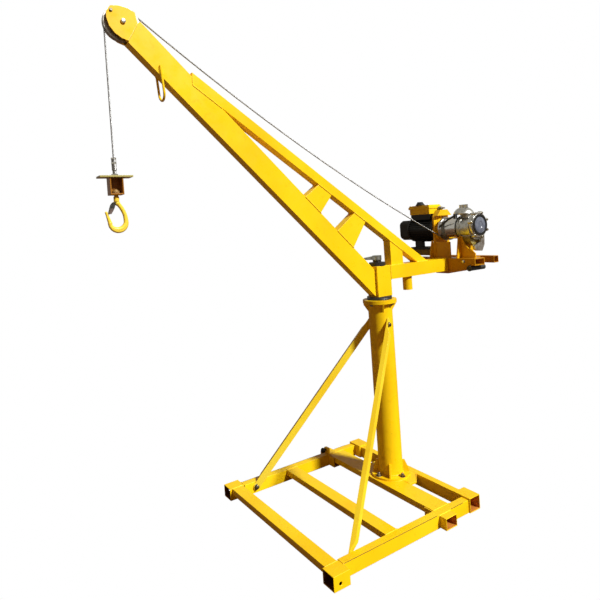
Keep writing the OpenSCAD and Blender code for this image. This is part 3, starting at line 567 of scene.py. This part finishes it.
# --- base frame: bolts
bolts("mast_foot_bolts", "base",
      [(((84 * math.cos(math.radians(a)), 84 * math.sin(math.radians(a)), 70), (0, 0, 1)),
        dict(af=19, h=9, washer=15, end=7, turn=0.3 * k)) for k, a in enumerate((0, 90, 180, 270))], BOLT)
bolts("mast_top_bolts", "base",
      [(((77 * math.cos(math.radians(a)), 77 * math.sin(math.radians(a)), 952), (0, 0, -1)),
        dict(af=14, h=7, washer=9.5)) for a in (15, 105, 195, 285)], BOLT)
its = []
for s in (1, -1):
    its.append((((592, s * 382, 34), (0, -s, 0)), dict(af=19, h=9, washer=15, end=5, turn=0.2)))
    its.append((((14, s * 71, 846), (0, s, 0)), dict(af=19, h=9, washer=13, end=4, turn=0.4)))
bolts("brace_bolts", "base", its, BOLT)
piece("far_lug_knob", *join(
    lathe_data([(0, -2), (5, -2), (5, 9), (9, 10), (13, 13), (14.5, 17), (14, 24), (11, 28), (6, 29.5), (0, 30)], (118, -412, 84), (1, 0, 0), 28),
    lathe_data([(0, -22), (6, -22), (6, -14.2), (0, -14.2)], (118, -412, 84), (1, 0, 0), 6)), PLASTIC, "base", "black_plastic")
# painted shadow lines: dark strips along the rails' outer top edges
piece("rail_shadow_lines", *join(*[tube_data([tuple(p) for p in walk([(x0, s * 429.4, 59.7), (x1, s * 429.4, 59.7)], 40)],
      [1.1] * len(walk([(x0, s * 429.4, 59.7), (x1, s * 429.4, 59.7)], 40)), 6) for s in (1, -1) for x0, x1 in ((132, 655), (-40, 40))]),
      SHADOW_STRIP, "base", "yellow_enamel")

# --- upperworks: welds
def by(x):
    return 1016.2 + math.tan(math.radians(44.2)) * x


BV = 50 / math.cos(math.radians(44.2))
CV = 45 / math.cos(math.radians(34.7))


def cl(x):
    return 1321.4 + math.tan(math.radians(34.7)) * x


runs = [(([(40.6, 25, by(40) - BV), (40.6, 25, by(40) + BV), (40.6, -25, by(40) + BV), (40.6, -25, by(40) - BV)],), dict(r=4.0, closed=True)),
        (([(-55.6, 40, 1069), (-55.6, 40, 1138), (-55.6, -40, 1138), (-55.6, -40, 1069)],), dict(r=3.2, closed=True)),
        (([(-265, 25, 1138.4), (-344, 25, 1138.4), (-344, -25, 1138.4), (-265, -25, 1138.4)],), dict(r=3.4, closed=True)),
        ((circle((-207, 0), 26.0, 1066.8, 40),), dict(r=3.0, closed=True))]
for s in (1, -1):
    runs.append((([(840.6, s * 25.0, 1903.4), (967, s * 25.0, cl(967)), (967.4, s * 25.0, by(967) + BV)],), dict(r=2.6)))
    for dx in (-5.8, 5.8):
        runs.append((([(1099.8 + dx, s * 26.0, by(1101) - BV + 4), (1102.6 + dx, s * 26.0, 2053)],), dict(r=2.6)))
    runs.append((([(-487, s * 40.0, 1099), (-487, s * 40.0, 1138)],), dict(r=2.8)))
runs.append((([(-487, 39, 1138.2), (-487, -39, 1138.2)],), dict(r=2.6)))
runs.append((([(967.4, 24, by(967) + BV), (967.4, -24, by(967) + BV)],), dict(r=2.8)))
for a, b, top in ((356, 438, 0), (169, 262, 0)):
    runs.append((([(a, 25, by(a) + BV), (b, 25, by(b) + BV), (b, -25, by(b) + BV), (a, -25, by(a) + BV)],), dict(r=3.2, closed=True)))
for a, b in ((283, 356), (80, 147), (-162, -75)):
    runs.append((([(a, 25, cl(a)), (b, 25, cl(b)), (b, -25, cl(b)), (a, -25, cl(a))],), dict(r=3.2, closed=True)))
runs.append((([(-162, 25, 1138.4), (-75, 25, 1138.4), (-75, -25, 1138.4), (-162, -25, 1138.4)],), dict(r=3.2, closed=True)))
welds("welds_boom", "upperworks", runs)
# weld beads along the tip plates' inner edges, painted pale as an edge highlight
welds("welds_tip", "upperworks", [(([(1194, s * 27.5, 2257), (1184.5, s * 27.5, 2212), (1225, s * 27.5, 2140.5)],), dict(r=3.4)) for s in (1, -1)], WELD_HIGHLIGHT)
piece("pin_caps", *join(*[lathe_data([(0, -1), (9.4, -1), (9.4, 0.4), (8.4, 1.0), (0, 1.2)], (1240, s * 37, 2214), (0, s, 0), 32) for s in (1, -1)]), ZINC, "upperworks", "drum_steel")
runs = [(([(-514.6, -86, 1138.6), (-514.6, 41, 1138.6)],), dict(r=2.8)),
        (([(-513, -79.6, 1138.6), (-489, -79.6, 1138.6)],), dict(r=2.4)),
        (([(-520.6, 114, 1138.6), (-520.6, 205, 1138.6)],), dict(r=2.8)),
        (([(-519, 104.6, 1138.6), (-489, 104.6, 1138.6)],), dict(r=2.4)),
        (([(-560, 113.4, 1138.6), (-528, 113.4, 1138.6)],), dict(r=2.4)),
        (([(-514.6, -79.6, 1142), (-514.6, -79.6, 1228)],), dict(r=2.2)),
        (([(-520.6, 104.8, 1142), (-520.6, 104.8, 1250)],), dict(r=2.2))]
welds("welds_winch", "upperworks", runs)

# --- boom tip and platform bolts
bolts("tip_bolt", "upperworks", [(((1284, s * 31, 2251), (0, s, 0)), dict(af=10, h=4.5, washer=7)) for s in (1, -1)], BOLT)
bolts("platform_bolts", "upperworks",
      [(((-487, s * 152, 1121), (1, 0, 0)), dict(af=13, h=6, washer=9, turn=0.2)) for s in (1, -1)], ZINC)

# --- winch: cover ring, disc and screws
ring("gear_cover_ring", [(44, 205.6), (58, 205.6), (58, 208.6), (56.5, 210), (45.5, 210), (44, 208.6), (44, 205.6)],
     (-575, 0, 1316), (0, 1, 0), PLASTIC, "upperworks", "black_plastic", 56)
ring("gear_cover_disc", [(0, 205.5), (45, 205.5), (45, 207.4), (40, 207.4), (38, 208.4), (20, 208.4), (18, 207.0), (0, 207.0)],
     (-575, 0, 1316), (0, 1, 0), DISC, "upperworks", "black_motor", 48)
its = []
for a in (14, 62, 110, 158, 206, 254, 302):
    its.append((((-575 + 68 * math.cos(math.radians(a)), 203, 1316 + 68 * math.sin(math.radians(a))), (0, 1, 0)),
                dict(af=10, h=5.5, washer=7.6, turn=a * 0.1)))
bolts("gear_cover_screws", "upperworks", its, ZINC)
its = []
for a in range(0, 360, 60):
    its.append((((-575 + 60 * math.cos(math.radians(a + 15)), 100, 1302 + 60 * math.sin(math.radians(a + 15))), (0, -1, 0)),
                dict(af=8, h=3.5, washer=5.5)))
# control box: knob, gland, lid screws
KX, KY, KZ = -530, -178, 1448
prof = [(0, -1), (22, -1), (27, 1), (27.5, 3), (26.5, 5), (22, 8)]
vs, fs = lathe_data(prof + [(19, 15), (16, 17), (0, 17.5)], (KX, KY, KZ), (0, 0, 1), 40)
piece("control_knob", *join((vs, fs), box_data(KX - 20, KX + 20, KY - 4, KY + 4, KZ + 14, KZ + 21, 1.5)), PLASTIC, "upperworks", "black_plastic")
piece("cable_gland", *join(
    lathe_data([(0, 0), (13, 0), (13, 6), (11.5, 7), (11.5, 10), (0, 10)], (-600, -97, 1424), (0, 1, 0), 6),
    lathe_data([(0, 9), (10, 9), (10, 22), (8.5, 25), (6, 26), (0, 26)], (-600, -97, 1424), (0, 1, 0), 24),
    lathe_data([(0, 25), (4.5, 25), (4.5, 44), (0, 44)], (-600, -97, 1424), (0, 1, 0), 16)), GREYPL, "upperworks", "cast_alloy")
bolts("lid_screws", "upperworks", [(((x, y, 1448), (0, 0, 1)), dict(af=6, h=2.0, washer=4.2, t=0.8)) for x in (-606, -527) for y in (-248, -110)], ZINC)
# arm that rests near the rope
vs, fs = [], []
path = walk([(-511, 94, 1372), (-511, 78, 1368), (-508, 50, 1356), (-500, 4, 1326), (-498, -12, 1316)], 6)
sec = []
for i, p in enumerate(path):
    sec.append([(p.x + dx, p.y, p.z + dz) for dx, dz in ((-2, -6), (2, -6), (2, 6), (-2, 6))])
for q in sec:
    vs += q
for i in range(len(sec) - 1):
    for k in range(4):
        l = (k + 1) % 4
        fs.append((i * 4 + k, i * 4 + l, (i + 1) * 4 + l, (i + 1) * 4 + k))
fs += [(3, 2, 1, 0), tuple(range(len(vs) - 4, len(vs)))]
piece("rope_arm", *join((vs, fs), box_data(-522, -504, 86, 101, 1356, 1382, 1.5)), DARK, "upperworks", "black_plastic", angle=25)
# fan grille
its = []
for r in (12, 20, 28, 36, 44):
    its.append(lathe_data([(r - 1.6, -2.0), (r + 1.6, -2.0), (r + 1.6, 1.0), (r - 1.6, 1.0), (r - 1.6, -2.0)], (-575, -350.5, 1302), (0, 1, 0), 48))
piece("fan_grille", *join(*its), DARKGREY, "upperworks", "black_plastic")

# --- rope on the drum
pts, turns = [], 3
a_lead = math.radians(-90 + (30.30 - 5.4))
for i in range(turns * 40 + 1):
    a = a_lead - 2 * math.pi * i / 40
    pts.append((-575 + 63 * math.cos(a), -15.8 + 6.3 * i / 40, 1302 + 63 * math.sin(a)))
piece("rope_turns", *tube_data(pts, [3.0] * len(pts), 10), ROPE, "rope_drum", "wire_rope")
# falling part of the rope: it runs from the sheave to the ferrule
pts = [(1306, 0, 2214 - 526 * i / 240) for i in range(241)]
fall = piece("rope_fall_line", *tube_data(pts, [3.0 - 0.02 * i / 240 for i in range(241)], 16), ROPE, None, "wire_rope")
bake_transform(fall)
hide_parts("rope_fall")

# --- hook block
HXM = 1306
piece("rope_ferrule", *join(
    lathe_data([(0, 1666), (9.4, 1666), (10, 1666.6), (10, 1671), (9.4, 1671.6), (0, 1671.6)], (HXM, 0, 0), (0, 0, 1), 32),
    lathe_data([(0, 1684), (9.6, 1684), (10, 1684.5), (10, 1688.4), (9, 1689.4), (0, 1689.4)], (HXM, 0, 0), (0, 0, 1), 32)),
    STEEL, "hook_block", "drum_steel")
piece("stop_plate_nuts", *join(
    lathe_data([(0, 1618.5), (12, 1618.5), (13, 1619.3), (13, 1624.5), (11.5, 1626), (0, 1626)], (HXM, 0, 0), (0, 0, 1), 6)),
    ZINC, "hook_block", "drum_steel")
# forged swell on the inner side of the hook's back and bowl
pts, rad = [], []
steps = 54
for i in range(steps + 1):
    t = i / steps
    k = math.sin(math.pi * t) ** 0.8 if 0 < t < 1 else 0.0
    off, r = 6.6 * k, 7.7 + 1.6 * k
    s = t * 190.0
    if s < 15:
        a = math.radians(165 + s)
        cx, R = 1305 - 31 + 114.5, 114.5 - off
    else:
        a = math.radians(180 + (s - 15) * 0.88)
        cx, R = 1305, 31 - off
    pts.append((cx + R * math.cos(a), 0, 1437 + R * math.sin(a)))
    rad.append(r)
piece("hook_swell", *tube_data(pts, rad, 20), YELLOW_HOOK, "hook_body", "yellow_enamel", angle=60)


def latch_pt(x, y, z):
    a = math.radians(-17.8)
    return (1317 + x * math.cos(a) + z * math.sin(a), y, 1513 - x * math.sin(a) + z * math.cos(a))


def slab(poly, y0, y1):
    """Plate cut to a polygon in x and z, between two y."""
    n = len(poly)
    vs = [(x, y0, z) for x, z in poly] + [(x, y1, z) for x, z in poly]
    fs = [tuple(range(n)), tuple(range(2 * n - 1, n - 1, -1))]
    fs += [(i, n + i, n + (i + 1) % n, (i + 1) % n) for i in range(n)]
    return vs, fs


cheek = [(-4.6, 1.0), (-2.6, 4.2), (1.2, 5.2), (4.2, 3.4), (8.4, -6), (9.6, -20), (9.4, -44), (7.4, -46), (2.0, -43), (-1.6, -33), (-4.4, -18)]
vs, fs = join(slab(cheek, 10.7, 12.6), slab(cheek, -12.6, -10.7), box_data(7.0, 9.7, -12.2, 12.2, -45.6, -8, 0.9),
              lathe_data([(0, -13.4), (2.2, -13.4), (2.6, -13.0), (2.6, 13.0), (2.2, 13.4), (0, 13.4)], (0, 0, 0), (0, 1, 0), 20))
piece("latch_plate", [latch_pt(*v) for v in vs], fs, LATCH, "latch_body", "dark_steel")

# end plate of the arm, and a dark ring of painted shade inside the stub tube's open lower end
piece("arm_end_plate", *box_data(-487.3, -479.5, -42.5, 42.5, 1065.5, 1138.6, 0.9), YELLOW, "upperworks", "yellow_enamel")
piece("stub_mouth_shade", *lathe_data([(20.6, 994.2), (24.6, 994.2), (24.6, 997.5), (20.6, 997.5), (20.6, 994.2)], (-207, 0, 0), (0, 0, 1), 48), SHADOW_STRIP, "upperworks", "yellow_enamel")


# ---------------------------------------------------------------- floor and light
fm, fnt, fb = mat_new("pale_floor")
fnt.nodes.remove(fb)
dif = fnt.nodes.new("ShaderNodeBsdfDiffuse")
dif.inputs["Color"].default_value = (0.16, 0.10, 0.06, 1)
emi = fnt.nodes.new("ShaderNodeEmission")
emi.inputs["Strength"].default_value = 1.0
flp = fnt.nodes.new("ShaderNodeLightPath")
fmx = fnt.nodes.new("ShaderNodeMixShader")
fnt.links.new(flp.outputs["Is Camera Ray"], fmx.inputs[0])
fnt.links.new(dif.outputs[0], fmx.inputs[1])
fnt.links.new(emi.outputs[0], fmx.inputs[2])
fnt.links.new(fmx.outputs[0], fnt.nodes["Material Output"].inputs["Surface"])
me = bpy.data.meshes.new("floor")
me.from_pydata([(-30, -30, 0), (30, -30, 0), (30, 30, 0), (-30, 30, 0)], [], [(0, 1, 2, 3)])
floor = bpy.data.objects.new("floor", me)
me.materials.append(fm)
scene.collection.objects.link(floor)

world = bpy.data.worlds.new("world")
scene.world = world
world.use_nodes = True
wn = world.node_tree
bg = wn.nodes["Background"]
lp = wn.nodes.new("ShaderNodeLightPath")


def wmix(fac, a, b):
    m = wn.nodes.new("ShaderNodeMix")
    m.data_type = "RGBA"
    wn.links.new(fac, m.inputs[0])
    for sock, v in ((m.inputs[6], a), (m.inputs[7], b)):
        if isinstance(v, tuple):
            sock.default_value = v
        else:
            wn.links.new(v, sock)
    return m.outputs[2]


AMB = (0.15, 0.082, 0.045, 1)
GLO = (0.46, 0.44, 0.38, 1)
wcol = wmix(lp.outputs["Is Glossy Ray"], AMB, GLO)
wcol = wmix(lp.outputs["Is Camera Ray"], wcol, (1, 1, 1, 1))
wn.links.new(wcol, bg.inputs["Color"])
bg.inputs["Strength"].default_value = 1.0

az, el = math.radians(110), math.radians(40)
sd = bpy.data.lights.new("key", "SUN")
sd.energy = 4.9
sd.angle = math.radians(7)
sd.color = (1.0, 0.985, 0.95)
so = bpy.data.objects.new("key", sd)
scene.collection.objects.link(so)
so.rotation_euler = (-V((math.cos(az) * math.cos(el), math.sin(az) * math.cos(el), math.sin(el)))).to_track_quat("-Z", "Y").to_euler()

scene.view_settings.view_transform = "Standard"
scene.view_settings.look = "None"
